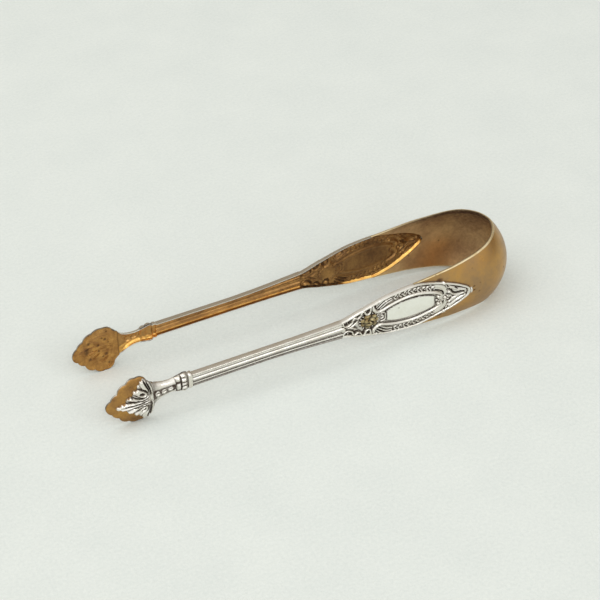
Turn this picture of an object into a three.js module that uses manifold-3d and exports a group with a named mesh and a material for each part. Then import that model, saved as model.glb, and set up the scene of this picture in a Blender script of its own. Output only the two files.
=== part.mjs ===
// Ice tongs: one springy bow of domed band, and two arms that run from it to shell-shaped claws.
// Millimetres. The tongs lie on edge: +X runs from the claws to the bow, -Y to the near arm,
// +Y to the far arm, and +Z is up. Every piece is drawn for the near arm and mirrored for the far one.
import * as THREE from 'three';
import { mergeVertices } from 'three/addons/utils/BufferGeometryUtils.js';
import Module from 'manifold-3d';

// Driving dimensions. Distances along the arm start at the tip of the claw.
const SHEET = 0.8; // thickness of the band and of the struck ornament
const CHANNEL_WALL = 0.5; // thickness of the drawn channels' flanks
const CHANNEL_FLOOR = 0.6; // thickness of the drawn channels' fronts
const SEAM = 0.3; // gap between neighbouring pieces along the arm
const SEAT = 0.1; // gap under a piece that sits on the sheet

const BOW_START = 138; // where the arm runs into the bow
const BOW_REACH = 11.7; // from there to the band's edges at the middle of the bow
const BOW_HALF_GAP = 12.5; // half the opening where the bow starts
const BOW_POWER = 2 / 1.726; // shape of the bow in plan: 1 is an ellipse, more is pointed
const BOW_ARC = 18.5; // length of half the bow along the band
const BOW_HALF_WIDTH = 13.2; // half the band's width at the middle of the bow
const BOW_DOME = 5.3; // how far the middle of the band stands out beyond its edges
const DOME_START = 106; // where the band begins to dome
const HINGE_SHARE = 0.5; // share of the half bow at which the band is taken to flex

const CLAW_END = 16.4;
const CLAW_THICK = 0.9;
const CLAW_DROOP = 0.85; // how far the claws hang below the middle of the arms
const DROOP_SPAN = [11, 27]; // the stretch of the arm over which they come down
const NECK_END = 24.0;
const KNOP_END = 28.4;
const COLLAR_END = 30.1;
const STEM_END = 84.4;
const TONGUE_END = 132.5; // tip of the silver cartouche
const TONGUE_SPLIT = 112.5; // where the gilt band appears beside the cartouche
const STEM_DEPTH = 2.0;
const COLLAR_DEPTH = 2.2;
const COLLAR_HALF_WIDTH = 3.1;
const NECK_DEPTH = 1.9;
const KNOP_DEPTH = 2.4;
const MEDALLION_CENTRE = 110.4;
const MEDALLION_HALF_LENGTH = 9.2;
const MEDALLION_HALF_HEIGHT = 3.9;
const MEDALLION_OVAL = 10.8; // half length of the whole oval that the medallion's ends are cut from
const MEDALLION_RISE = 0.3;
const FRAME_HALF_LENGTH = 10.4; // to the inside of the raised rim around the medallion
const FRAME_HALF_HEIGHT = 4.5;
const FRAME_WIDTH = 1.2;
const FRAME_RISE = 0.7;
const FLOWER_CENTRE = 94.9;
const FLOWER_RADIUS = 2.95;
const FLOWER_STRETCH = 1.22; // the flower is longer than it is wide
const FLOWER_PETALS = 7;
const FLOWER_RISE = 0.7;
const RIM_RISE = 0.5;
const RIM_SHARE = 0.85; // share of the cartouche's half width at which its rim starts
const LEAF_RISE = 0.7;
const BEAD_RADIUS = 0.8;
const BEAD_FLATTENING = 0.5; // how deep the bead is, as a share of its width
const HUSK_FLATTENING = 0.6; // and the husks

const OVERALL_LENGTH = BOW_START + BOW_REACH + BOW_DOME + SHEET;
const BOW_MIDDLE = BOW_START + BOW_ARC;
const HINGE_AT = BOW_START + BOW_ARC * HINGE_SHARE;
const FLAT_START = BOW_MIDDLE - 4.5; // from here the lower edge lies flat on the table

// A smooth curve through [place, value] stations that never overshoots between them.
function curveThrough(stations) {
  const gaps = stations.slice(1).map(([x], i) => x - stations[i][0]);
  const slopes = gaps.map((gap, i) => (stations[i + 1][1] - stations[i][1]) / gap);
  const tangents = stations.map((_, i) => {
    const before = slopes[i - 1] ?? slopes[0];
    const after = slopes[i] ?? slopes[slopes.length - 1];
    return before * after <= 0 ? 0 : (2 * before * after) / (before + after);
  });
  return (x) => {
    const last = stations.length - 2;
    const i = Math.min(last, Math.max(0, stations.findIndex(([place]) => place > x) - 1));
    const k = x >= stations[last + 1][0] ? last : i;
    const t = THREE.MathUtils.clamp((x - stations[k][0]) / gaps[k], 0, 1);
    const rise = t * t * (3 - 2 * t);
    const bend = tangents[k] * t * (1 - t) * (1 - t) - tangents[k + 1] * t * t * (1 - t);
    return stations[k][1] + rise * (stations[k + 1][1] - stations[k][1]) + bend * gaps[k];
  };
}

// Half the opening between the arms' inner faces.
const halfGap = curveThrough([
  [0, 14.3], [25, 13.7], [55, 13.7], [85, 14.35], [105, 14.75], [125, 14.3], [BOW_START, BOW_HALF_GAP],
]);

// Half the width of the whole arm, from the knop to the bow.
const halfWidth = curveThrough([
  [26, 2.5], [55, 2.45], [84, 3.4], [92, 5.5], [104, 8.3], [120, 9.7], [136, 11.3], [142, 12.1],
  [147, 12.8], [FLAT_START, BOW_HALF_WIDTH], [BOW_MIDDLE, BOW_HALF_WIDTH],
]);

// Half the width of the silver cartouche, which narrows to a tongue on the gilt band.
const tongueHalfWidth = curveThrough([
  [TONGUE_SPLIT, 9.0], [118, 8.0], [123.5, 6.3], [128, 4.4], [130.4, 2.95], [131.7, 2.05],
  [132.2, 1.5], [TONGUE_END, 0.7],
]);
const cartoucheHalfWidth = (u) =>
  u < TONGUE_SPLIT ? halfWidth(u) : Math.min(halfWidth(u), tongueHalfWidth(u));

const medallionHalfHeight = (u) =>
  MEDALLION_HALF_HEIGHT * Math.sqrt(1 - ((u - MEDALLION_CENTRE) / MEDALLION_OVAL) ** 2);

// Plan of the near arm's inner face at a distance u along it; past BOW_START it follows the bow.
function plan(u) {
  if (u <= BOW_START) return new THREE.Vector2(u, -halfGap(u));
  const turn = ((u - BOW_START) / BOW_ARC) * (Math.PI / 2);
  const along = Math.abs(Math.sin(turn)) ** BOW_POWER;
  const across = Math.abs(Math.cos(turn)) ** BOW_POWER * Math.sign(Math.cos(turn));
  return new THREE.Vector2(BOW_START + BOW_REACH * along, -BOW_HALF_GAP * across);
}

function planNormal(u) {
  if (Math.abs(u - BOW_MIDDLE) < 1e-6) return new THREE.Vector2(1, 0);
  const step = 0.05;
  const run = plan(u + step).sub(plan(u - step)).normalize();
  return new THREE.Vector2(run.y, -run.x);
}

function dome(u, z) {
  const share = THREE.MathUtils.smoothstep(u, DOME_START, BOW_MIDDLE);
  return BOW_DOME * share * (1 - (z / halfWidth(u)) ** 2);
}

// The claws hang a little lower than the arms that carry them.
function droop(u) {
  return CLAW_DROOP * (1 - THREE.MathUtils.smoothstep(u, ...DROOP_SPAN));
}

// The point at distance u along the arm, z above its middle, and h out from the band's inner face.
function place(u, z, h) {
  const at = plan(u).addScaledVector(planNormal(u), dome(u, z) + h);
  return new THREE.Vector3(at.x, at.y, z - droop(u));
}

function steps(from, to, count) {
  return Array.from({ length: count + 1 }, (_, i) => from + ((to - from) * i) / count);
}

function geometryOf(points, triangles) {
  const geometry = new THREE.BufferGeometry();
  geometry.setAttribute('position', new THREE.Float32BufferAttribute(points.flatMap((p) => p.toArray()), 3));
  geometry.setIndex(triangles);
  return geometry;
}

// A closed sheet between two grids of points that face each other: rows run along the arm, columns up it.
function shell(outer, inner) {
  const rows = outer.length;
  const columns = outer[0].length;
  const front = (i, j) => i * columns + j;
  const back = (i, j) => rows * columns + front(i, j);
  const triangles = [];
  const quad = (a, b, c, d) => triangles.push(a, b, c, a, c, d);
  for (let i = 0; i < rows - 1; i++) {
    for (let j = 0; j < columns - 1; j++) {
      quad(front(i, j), front(i + 1, j), front(i + 1, j + 1), front(i, j + 1));
      quad(back(i, j), back(i, j + 1), back(i + 1, j + 1), back(i + 1, j));
    }
    quad(front(i, 0), back(i, 0), back(i + 1, 0), front(i + 1, 0));
    const top = columns - 1;
    quad(front(i, top), front(i + 1, top), back(i + 1, top), back(i, top));
  }
  for (let j = 0; j < columns - 1; j++) {
    quad(front(0, j), front(0, j + 1), back(0, j + 1), back(0, j));
    const end = rows - 1;
    quad(front(end, j), back(end, j), back(end, j + 1), front(end, j + 1));
  }
  return geometryOf([...outer.flat(), ...inner.flat()], triangles);
}

// A sheet of the band: stations along the arm, shares across it, and how high its outer face stands.
function sheet(stations, shares, width, rise = () => 0) {
  const grid = (heightOf) =>
    stations.map((u) => shares.map((v) => place(u, v * width(u), heightOf(u, v))));
  return shell(grid((u, v) => SHEET + rise(u, v)), grid(() => 0));
}

// A channel that is open towards the other arm. The profile lists shares of half width and of depth.
function channel(stations, profile, width, depth) {
  const mirrored = profile.slice(0, -1).map(([v, h]) => [-v, h]);
  const section = [...mirrored, ...profile.slice().reverse()];
  const outer = stations.map((u) => section.map(([v, h]) => place(u, v * width(u), h * depth(u))));
  const inner = stations.map((u) =>
    section.map(([v, h]) => {
      const height = Math.max(0, h * depth(u) - CHANNEL_FLOOR);
      return place(u, v * (width(u) - CHANNEL_WALL), height);
    }),
  );
  return shell(outer, inner);
}

const wasm = await Module();
wasm.setup();

function solidOf(geometry) {
  const bare = geometry.clone();
  bare.deleteAttribute('normal');
  bare.deleteAttribute('uv');
  const merged = mergeVertices(bare, 1e-5);
  return new wasm.Manifold(
    new wasm.Mesh({
      numProp: 3,
      vertProperties: Float32Array.from(merged.attributes.position.array),
      triVerts: Uint32Array.from(merged.index.array),
    }),
  );
}

function geometryFrom(solid) {
  const mesh = solid.getMesh();
  const geometry = new THREE.BufferGeometry();
  geometry.setAttribute('position', new THREE.Float32BufferAttribute(mesh.vertProperties, 3));
  geometry.setIndex(Array.from(mesh.triVerts));
  return geometry;
}

const cut = (geometry, tool) => geometryFrom(solidOf(geometry).subtract(solidOf(tool)));

// A flat outline drawn in X and Z becomes a plate that stands out from inside to outside the near arm.
function plate(shape, inside, outside, segments = 12) {
  const geometry = new THREE.ExtrudeGeometry(shape, {
    depth: outside - inside, bevelEnabled: false, curveSegments: segments,
  });
  geometry.rotateX(Math.PI / 2);
  geometry.translate(0, -inside, 0);
  return geometry;
}

// A cutter for an outline drawn on the band: it follows the band's curve and reaches past both faces.
function cutter(stations, width) {
  const REACH = 2;
  const shares = [-1, -0.5, 0, 0.5, 1];
  const grid = (height) => stations.map((u) => shares.map((v) => place(u, v * width(u), height)));
  return shell(grid(SHEET + RIM_RISE + REACH), grid(-REACH));
}

// The claw's edge is a chain of round lobes: [along, up, radius] of each, from the tip to the heel.
const LOBES = [[3.0, 0, 3.0], [4.75, 1.85, 3.1], [7.3, 4.4, 3.2], [9.9, 5.9, 3.0], [11.6, 5.75, 3.1]];
const HEEL = [[14.6, 6.5], [15.5, 5.6], [CLAW_END, 5.0]];

// Where two neighbouring lobes cross, on the side away from the middle of the claw.
function crossing([ax, az, ar], [bx, bz, br]) {
  const dx = bx - ax;
  const dz = bz - az;
  const apart = Math.hypot(dx, dz);
  const along = (apart * apart + ar * ar - br * br) / (2 * apart);
  const off = Math.sqrt(ar * ar - along * along);
  return [ax + (dx * along - dz * off) / apart, az + (dz * along + dx * off) / apart];
}

function clawOutline() {
  const ARC_STEPS = 6;
  const cusps = LOBES.slice(1).map((lobe, i) => crossing(LOBES[i], lobe));
  const half = [];
  LOBES.forEach(([x, z, r], i) => {
    const angleOf = ([px, pz]) => Math.atan2(pz - z, px - x);
    const from = i === 0 ? Math.PI : angleOf(cusps[i - 1]);
    const to = i === LOBES.length - 1 ? 0.35 : angleOf(cusps[i]);
    const start = from < to ? from + 2 * Math.PI : from;
    steps(start, to, ARC_STEPS).slice(i === 0 ? 0 : 1).forEach((a) => {
      half.push(new THREE.Vector2(x + r * Math.cos(a), z + r * Math.sin(a)));
    });
  });
  HEEL.forEach(([x, z]) => half.push(new THREE.Vector2(x, z)));
  const lower = half.slice(1).reverse().map((p) => new THREE.Vector2(p.x, -p.y));
  return new THREE.Shape([...half, ...lower].reverse());
}

function claw() {
  return plate(clawOutline(), halfGap(0), halfGap(0) + CLAW_THICK).translate(0, 0, -CLAW_DROOP);
}

// Acanthus leaf on the claw: a long middle lobe and three shorter ones a side, each [notch, tip].
function acanthusLeaf() {
  const lobes = [[[6.6, 1.9], [7.1, 4.0]], [[9.0, 3.3], [9.8, 5.5]], [[11.3, 4.9], [12.7, 7.2]]];
  const base = [[14.6, 4.6], [CLAW_END, 2.6]];
  const upper = [[3.4, 0], [4.7, 1.5], ...lobes.flat(), ...base];
  const lower = upper.slice(1).reverse().map(([x, z]) => [x, -z]);
  const points = [...upper, ...lower].reverse().map(([x, z]) => new THREE.Vector2(x, z));
  const seat = halfGap(0) + CLAW_THICK + SEAT;
  return plate(new THREE.Shape(points), seat, seat + LEAF_RISE).translate(0, 0, -CLAW_DROOP);
}

// Half sections of the channels, from the open edge to the middle: [share of half width, share of depth].
const ROUND_PROFILE = [[1, 0], [0.97, 0.5], [0.85, 0.82], [0.6, 0.95], [0, 1]];
const REEDED_PROFILE = [
  [1, 0], [0.98, 0.6], [0.88, 0.78], [0.7, 0.86], [0.5, 0.84], [0.4, 0.74], [0.3, 0.9], [0, 1],
];

const neckHalfWidth = curveThrough([
  [CLAW_END, 5.0], [18, 3.8], [20.5, 2.9], [22.5, 2.65], [NECK_END, 2.75],
]);

function neck() {
  return channel(steps(CLAW_END + SEAM, NECK_END, 8), ROUND_PROFILE, neckHalfWidth, () => NECK_DEPTH);
}

// Three graduated husks strung down the front of the neck, turned as one piece and flattened.
function huskDrop() {
  const husks = [[1.3, 0.95], [1.1, 0.75], [0.9, 0.55]]; // half length and radius of each
  const WAIST = 0.3; // radius between two husks
  const points = [new THREE.Vector2(0, 0)];
  let at = 0;
  husks.forEach(([half, radius]) => {
    steps(0.15, 0.85, 4).forEach((t) => {
      points.push(new THREE.Vector2(WAIST + (radius - WAIST) * Math.sin(Math.PI * t), at + 2 * half * t));
    });
    at += 2 * half;
  });
  points.push(new THREE.Vector2(0, at));
  const geometry = new THREE.LatheGeometry(points, 12);
  geometry.rotateZ(Math.PI / 2);
  geometry.scale(1, HUSK_FLATTENING, 1);
  const middle = NECK_END - at / 2;
  const depth = Math.max(...husks.map(([, radius]) => radius)) * HUSK_FLATTENING;
  geometry.translate(NECK_END - SEAM, -(halfGap(middle) + NECK_DEPTH + SEAT + depth), -droop(middle));
  return geometry;
}

const knopHalfWidth = curveThrough([
  [NECK_END, 2.75], [25.2, 3.0], [26.6, 3.3], [27.5, 3.5], [KNOP_END, 3.25],
]);

function knop() {
  return channel(steps(NECK_END + SEAM, KNOP_END, 6), ROUND_PROFILE, knopHalfWidth, () => KNOP_DEPTH);
}

function collar() {
  const stations = steps(KNOP_END + SEAM, COLLAR_END, 2);
  return channel(stations, ROUND_PROFILE, () => COLLAR_HALF_WIDTH, () => COLLAR_DEPTH);
}

function stem() {
  return channel(steps(COLLAR_END + SEAM, STEM_END, 9), REEDED_PROFILE, halfWidth, () => STEM_DEPTH);
}

const medallionStations = (clearance) => {
  const reach = MEDALLION_HALF_LENGTH + clearance;
  return steps(MEDALLION_CENTRE - reach, MEDALLION_CENTRE + reach, 12);
};

// Struck silver plate with a raised outer rim and an oval opening for the medallion.
function cartouche() {
  const shares = [-1, -0.9, -0.8, -0.6, -0.3, 0, 0.3, 0.6, 0.8, 0.9, 1];
  const rimRise = (u, v) => (Math.abs(v) > RIM_SHARE ? RIM_RISE : 0);
  const body = sheet(steps(STEM_END + SEAM, TONGUE_END, 24), shares, cartoucheHalfWidth, rimRise);
  const opening = cutter(medallionStations(SEAM), (u) => medallionHalfHeight(u) + SEAM);
  return cut(body, opening);
}

function medallion() {
  return sheet(medallionStations(0), [-1, -0.5, 0, 0.5, 1], medallionHalfHeight, () => MEDALLION_RISE);
}

// Raised oval rim around the medallion, following the curve of the sheet it sits on.
function medallionFrame() {
  const AROUND = 36;
  const corners = [[0, 0], [FRAME_WIDTH, 0], [FRAME_WIDTH, FRAME_RISE], [0, FRAME_RISE]];
  const points = [];
  const triangles = [];
  for (let i = 0; i < AROUND; i++) {
    const a = (2 * Math.PI * i) / AROUND;
    corners.forEach(([out, up]) => {
      const u = MEDALLION_CENTRE + (FRAME_HALF_LENGTH + out) * Math.cos(a);
      const z = (FRAME_HALF_HEIGHT + out) * Math.sin(a);
      points.push(place(u, z, SHEET + SEAT + up));
    });
    corners.forEach((_, k) => {
      const next = (i + 1) % AROUND;
      const [p, q] = [4 * i + k, 4 * i + ((k + 1) % 4)];
      const [r, s] = [4 * next + ((k + 1) % 4), 4 * next + k];
      triangles.push(p, r, q, p, s, r);
    });
  }
  return geometryOf(points, triangles);
}

function flower() {
  const AROUND = 48;
  const points = steps(0, 2 * Math.PI, AROUND).slice(0, -1).map((a) => {
    const radius = FLOWER_RADIUS * (0.82 + 0.18 * Math.abs(Math.cos((FLOWER_PETALS * a) / 2)));
    return new THREE.Vector2(FLOWER_CENTRE + FLOWER_STRETCH * radius * Math.cos(a), radius * Math.sin(a));
  });
  const seat = halfGap(FLOWER_CENTRE) + SHEET + SEAT;
  return plate(new THREE.Shape(points), seat, seat + FLOWER_RISE);
}

// Small bead beyond the tip of the tongue.
function tipBead() {
  const at = TONGUE_END + SEAM + BEAD_RADIUS;
  const geometry = new THREE.SphereGeometry(BEAD_RADIUS, 12, 8);
  geometry.scale(1, BEAD_FLATTENING, 1);
  const centre = place(at, 0, SHEET + 2 * SEAT + BEAD_RADIUS * BEAD_FLATTENING);
  return geometry.translate(centre.x, centre.y, centre.z);
}

const BAND_SHARES = [-1, -0.85, -0.7, -0.5, -0.25, 0, 0.25, 0.5, 0.7, 0.85, 1];

// The gilt band from the cartouche to the flexing line, notched for the silver tongue.
function shoulder() {
  const band = sheet(steps(TONGUE_SPLIT + SEAM, HINGE_AT - SEAM, 16), BAND_SHARES, halfWidth);
  const notch = cutter(steps(TONGUE_SPLIT - 2, TONGUE_END + SEAM, 14), (u) => {
    return u < TONGUE_SPLIT ? halfWidth(TONGUE_SPLIT) + SEAM : tongueHalfWidth(u) + SEAM;
  });
  return cut(band, notch);
}

// The middle of the bow, from one flexing line round to the other.
function crown() {
  const half = steps(HINGE_AT + SEAM, BOW_MIDDLE, 9);
  const near = (height) => half.map((u) => BAND_SHARES.map((v) => place(u, v * halfWidth(u), height)));
  const whole = (rows) => {
    const others = rows.slice(0, -1).reverse();
    return [...rows, ...others.map((row) => row.map((p) => new THREE.Vector3(p.x, -p.y, p.z)))];
  };
  return shell(whole(near(SHEET)), whole(near(0)));
}

function mirrored(geometry) {
  const copy = geometry.clone();
  copy.deleteAttribute('normal');
  copy.deleteAttribute('uv');
  const whole = copy.index ? copy : mergeVertices(copy, 1e-5);
  whole.scale(1, -1, 1);
  const index = whole.index.array;
  for (let i = 0; i < index.length; i += 3) [index[i + 1], index[i + 2]] = [index[i + 2], index[i + 1]];
  return whole;
}

const silver = () => new THREE.MeshStandardMaterial({ color: 0xc9c7c0, roughness: 0.28, metalness: 1 });
const satinSilver = () => new THREE.MeshStandardMaterial({ color: 0xd6d4cb, roughness: 0.5, metalness: 1 });
const gilt = () => new THREE.MeshStandardMaterial({ color: 0xb08a48, roughness: 0.35, metalness: 1 });
const agedGilt = () => new THREE.MeshStandardMaterial({ color: 0x7c6a45, roughness: 0.6, metalness: 0.9 });

const ARM_PIECES = [
  ['claw', claw, gilt],
  ['acanthus_leaf', acanthusLeaf, silver],
  ['neck', neck, silver],
  ['husk_drop', huskDrop, silver],
  ['knop', knop, silver],
  ['collar', collar, silver],
  ['stem', stem, silver],
  ['cartouche', cartouche, silver],
  ['medallion', medallion, satinSilver],
  ['medallion_frame', medallionFrame, silver],
  ['flower', flower, agedGilt],
  ['tip_bead', tipBead, silver],
  ['shoulder', shoulder, gilt],
];

const tongs = new THREE.Group();

function add(name, geometry, material) {
  const mesh = new THREE.Mesh(geometry, material);
  mesh.name = name;
  tongs.add(mesh);
}

add('bow_crown', crown(), gilt());
ARM_PIECES.forEach(([name, build, material]) => {
  const near = build();
  add(`near_${name}`, near, material());
  add(`far_${name}`, mirrored(near), material());
});

// The origin is under the middle of the tongs, on the plane that the bow's lower edge rests on.
tongs.position.set(-OVERALL_LENGTH / 2, 0, BOW_HALF_WIDTH);

export default tongs;
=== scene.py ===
import math

import bpy
import numpy as np
from mathutils import Matrix, Vector
from mathutils.geometry import delaunay_2d_cdt


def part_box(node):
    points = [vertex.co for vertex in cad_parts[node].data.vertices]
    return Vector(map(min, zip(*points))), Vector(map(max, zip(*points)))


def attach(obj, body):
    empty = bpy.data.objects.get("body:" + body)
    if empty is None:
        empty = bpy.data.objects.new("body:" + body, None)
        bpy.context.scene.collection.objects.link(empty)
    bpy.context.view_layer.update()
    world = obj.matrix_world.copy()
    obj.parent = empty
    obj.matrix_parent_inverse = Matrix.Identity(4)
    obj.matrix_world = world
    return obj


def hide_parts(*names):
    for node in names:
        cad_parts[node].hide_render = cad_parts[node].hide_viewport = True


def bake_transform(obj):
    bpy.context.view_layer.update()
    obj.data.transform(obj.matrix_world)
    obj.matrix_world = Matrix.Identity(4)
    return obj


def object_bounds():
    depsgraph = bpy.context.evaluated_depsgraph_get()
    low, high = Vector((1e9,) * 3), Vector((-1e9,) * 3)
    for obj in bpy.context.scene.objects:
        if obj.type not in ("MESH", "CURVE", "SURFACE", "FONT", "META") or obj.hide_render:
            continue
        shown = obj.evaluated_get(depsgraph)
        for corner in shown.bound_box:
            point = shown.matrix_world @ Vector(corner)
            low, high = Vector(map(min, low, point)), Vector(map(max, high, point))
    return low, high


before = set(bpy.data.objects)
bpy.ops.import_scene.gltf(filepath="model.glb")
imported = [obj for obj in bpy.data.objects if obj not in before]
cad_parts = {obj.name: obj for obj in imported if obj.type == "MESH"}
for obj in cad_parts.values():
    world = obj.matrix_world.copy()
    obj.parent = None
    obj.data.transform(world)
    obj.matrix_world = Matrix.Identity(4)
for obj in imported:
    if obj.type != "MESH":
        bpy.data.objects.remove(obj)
CAD_LOW, CAD_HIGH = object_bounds()

# Shapes are drawn in millimetres in the near arm's own terms: u runs along the arm from the claw's tip,
# z runs up from its middle, and h stands out from the inner face of the sheet. The far arm is its mirror.
MM = 0.001
TIP_X = CAD_LOW.x
MIDDLE_Z = (CAD_LOW.z + CAD_HIGH.z) / 2
NEAR = -1
FAR = 1
SIDES = {"near": NEAR, "far": FAR}

SHEET = 0.8
CHANNEL_SHEET = 0.6
STEM_SHEET = 0.62
CHANNEL_FLANK = 0.4  # thickness of a channel's sides
ARM_FLANK = 0.28
BOW_START = 138.0
BOW_REACH = 11.7
BOW_HALF_GAP = 12.5
BOW_POWER = 2 / 1.726
BOW_ARC = 18.5
BOW_MIDDLE = BOW_START + BOW_ARC
BOW_DOME = 5.3
DOME_START = 106.0

CLAW_END = 16.4
CLAW_THICK = 0.9
CLAW_CUP = 1.8
CLAW_INSET = 0.6  # how far the edge of the pan is turned in past the arm's inner face
CLAW_DROOP = 0.85
DROOP_FROM = 27  # the droop starts here, towards the tip, and is whole at DROOP_TO
DROOP_TO = 11
NECK_DEPTH = 1.9
HUSKS = ((23.3, 2.2, 0.75), (20.9, 2.2, 1.0), (18.6, 2.1, 1.25))  # start, length and half width of each
NECK_END = 24.0
KNOP_END = 28.4
COLLAR_END = 30.1
STEM_END = 84.4
STEM_DEPTH = 2.0
TONGUE_SPLIT = 112.5
TONGUE_END = 132.5
GROUND = 0.85
RIM_CREST = 1.75
THINNING = 0.2  # share of the relief's height that is lost between the stem and the medallion
MEDALLION_CENTRE = 110.4
MEDALLION_HALF_LENGTH = 9.2
MEDALLION_HALF_HEIGHT = 3.9
MEDALLION_OVAL = 10.8
FLOWER_CENTRE = 94.9
FLOWER_RADIUS = 2.95
FLOWER_STRETCH = 1.22  # the flower is longer than it is wide


# ---------------------------------------------------------------- curves

def curve_through(stations):
    """A smooth function through (place, value) stations that never overshoots between them."""
    xs, ys = np.array(stations, float).T
    gaps = np.diff(xs)
    slopes = np.diff(ys) / gaps
    before = np.concatenate([slopes[:1], slopes])
    after = np.concatenate([slopes, slopes[-1:]])
    same = before * after > 0
    tangents = np.where(same, 2 * before * after / np.where(same, before + after, 1), 0)

    def at(x):
        x = np.asarray(x, float)
        k = np.clip(np.searchsorted(xs, x, side="right") - 1, 0, len(gaps) - 1)
        t = unit((x - xs[k]) / gaps[k])
        rise = t * t * (3 - 2 * t)
        bend = tangents[k] * t * (1 - t) ** 2 - tangents[k + 1] * t * t * (1 - t)
        return ys[k] + rise * (ys[k + 1] - ys[k]) + bend * gaps[k]

    return at


def smooth_path(points, per_leg=6):
    """Catmull-Rom curve through points of (u, z)."""
    points = np.array(points, float)
    if len(points) < 3:
        return points
    ends = [2 * points[0] - points[1]], [2 * points[-1] - points[-2]]
    p = np.concatenate([ends[0], points, ends[1]])
    t = np.linspace(0, 1, per_leg, endpoint=False)[:, None]
    legs = []
    for a, b, c, d in zip(p, p[1:], p[2:], p[3:]):
        legs.append(b + 0.5 * t * (c - a + t * (2 * a - 5 * b + 4 * c - d + t * (3 * (b - c) + d - a))))
    return np.concatenate(legs + [points[-1:]])


def unit(x):
    """Values held between 0 and 1."""
    return np.clip(x, 0, 1)


def hump(x, spread, power=2):
    """1 at 0, falling away over `spread`; a higher power has a flatter top and steeper sides."""
    return np.exp(-((x / spread) ** power))


def turns(count):
    """Angles once around a circle."""
    return np.linspace(0, 2 * math.pi, count, endpoint=False)


def directions(path):
    """Unit vectors along a path of points."""
    run = np.gradient(path, axis=0)
    return run / np.hypot(*run.T)[:, None]


def tapered(share, taper):
    """The width at each share of a stroke's length; taper lists it at even steps from start to end."""
    return np.interp(share, np.linspace(0, 1, len(taper)), taper)


def mirrored(half):
    """A closed outline from its upper half, which starts on the middle line."""
    return np.concatenate([half[1:] * [1, -1], half[::-1]])


def smoothstep(x, low, high):
    t = unit((np.asarray(x, float) - low) / (high - low))
    return t * t * (3 - 2 * t)


half_gap = curve_through([
    (0, 14.3), (25, 13.7), (55, 13.7), (85, 14.35), (105, 14.75), (125, 14.3), (BOW_START, BOW_HALF_GAP),
])
half_width = curve_through([
    (26, 2.5), (55, 2.45), (84, 3.4), (92, 5.5), (104, 8.3), (120, 9.7), (136, 11.3), (142, 12.1),
    (147, 12.8), (152, 13.2), (BOW_MIDDLE, 13.2),
])
tongue_half_width = curve_through([
    (108, 9.15), (TONGUE_SPLIT, 9), (118, 8), (123.5, 6.3), (128, 4.4), (130.4, 2.95),
    (131.7, 2.05), (132.2, 1.5), (TONGUE_END, 0.7),
])
neck_half_width = curve_through([(CLAW_END, 5.0), (18, 3.8), (20.5, 2.9), (22.5, 2.65), (NECK_END, 2.75)])


def cartouche_half_width(u):
    """The lesser of the arm's and the tongue's half width, with the change between them rounded."""
    sharpness = 6.0
    arm = half_width(u)
    return arm - np.log1p(np.exp(sharpness * (arm - tongue_half_width(u)))) / sharpness


def sharp_plan(u):
    """Plan of the near arm's inner face; past BOW_START it follows the bow."""
    turn = (u - BOW_START) / BOW_ARC * math.pi / 2
    along = np.abs(np.sin(turn)) ** BOW_POWER
    across = np.abs(np.cos(turn)) ** BOW_POWER * np.sign(np.cos(turn))
    straight = u <= BOW_START
    return (
        np.where(straight, u, BOW_START + BOW_REACH * along),
        np.where(straight, -half_gap(u), -BOW_HALF_GAP * across),
    )


PLAN_STEP = 0.05
PLAN_U = np.arange(-4, BOW_MIDDLE + 20, PLAN_STEP)


def eased_plan():
    """The plan with the join between arm and bow eased over a few millimetres."""
    spread = 4.0
    reach = np.arange(-3 * spread, 3 * spread + PLAN_STEP, PLAN_STEP)
    weights = np.exp(-0.5 * (reach / spread) ** 2)
    share = hump(PLAN_U - BOW_START, 7.5)
    eased = []
    for line in sharp_plan(PLAN_U):
        soft = np.convolve(line, weights / weights.sum(), mode="same")
        eased.append(line + (soft - line) * share)
    return eased


PLAN_X, PLAN_Y = eased_plan()


def plan(u):
    return np.interp(u, PLAN_U, PLAN_X), np.interp(u, PLAN_U, PLAN_Y)


def place(u, z, h):
    """Points of the near arm, in millimetres: u along it, z above its middle, h out from its inner face."""
    u, z, h = np.broadcast_arrays(np.asarray(u, float), np.asarray(z, float), np.asarray(h, float))
    step = 0.2
    x, y = plan(u)
    ahead = plan(u + step)
    behind = plan(u - step)
    run = np.hypot(ahead[0] - behind[0], ahead[1] - behind[1])
    out_x = (ahead[1] - behind[1]) / run
    out_y = -(ahead[0] - behind[0]) / run
    dome = BOW_DOME * smoothstep(u, DOME_START, BOW_MIDDLE) * (1 - (z / half_width(u)) ** 2)
    droop = CLAW_DROOP * (1 - smoothstep(u, DROOP_TO, DROOP_FROM))
    return np.stack([x + out_x * (dome + h), y + out_y * (dome + h), z - droop], axis=-1)


# ---------------------------------------------------------------- reliefs

def distance_along(u, z, path):
    """Distance from each point to a path, and the share of the path's length at the nearest place."""
    best = np.full(u.shape, np.inf)
    share = np.zeros(u.shape)
    legs = np.hypot(*np.diff(path, axis=0).T)
    starts = np.concatenate([[0], np.cumsum(legs)])
    for a, b, leg, start in zip(path, path[1:], legs, starts):
        if leg < 1e-9:
            continue
        t = unit(((u - a[0]) * (b[0] - a[0]) + (z - a[1]) * (b[1] - a[1])) / leg**2)
        away = np.hypot(u - a[0] - t * (b[0] - a[0]), z - a[1] - t * (b[1] - a[1]))
        closer = away < best
        best = np.where(closer, away, best)
        share = np.where(closer, (start + t * leg) / starts[-1], share)
    return best, share


def blur(values, radius):
    """Soft average over about radius cells, with the edges repeated."""
    reach = int(3 * radius)
    weights = np.exp(-0.5 * (np.arange(-reach, reach + 1) / radius) ** 2)
    weights /= weights.sum()
    for axis in (0, 1):
        pad = [(0, 0), (0, 0)]
        pad[axis] = (reach, reach)
        padded = np.pad(values, pad, mode="edge")
        length = values.shape[axis]
        values = sum(w * np.take(padded, range(i, i + length), axis) for i, w in enumerate(weights))
    return values


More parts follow.
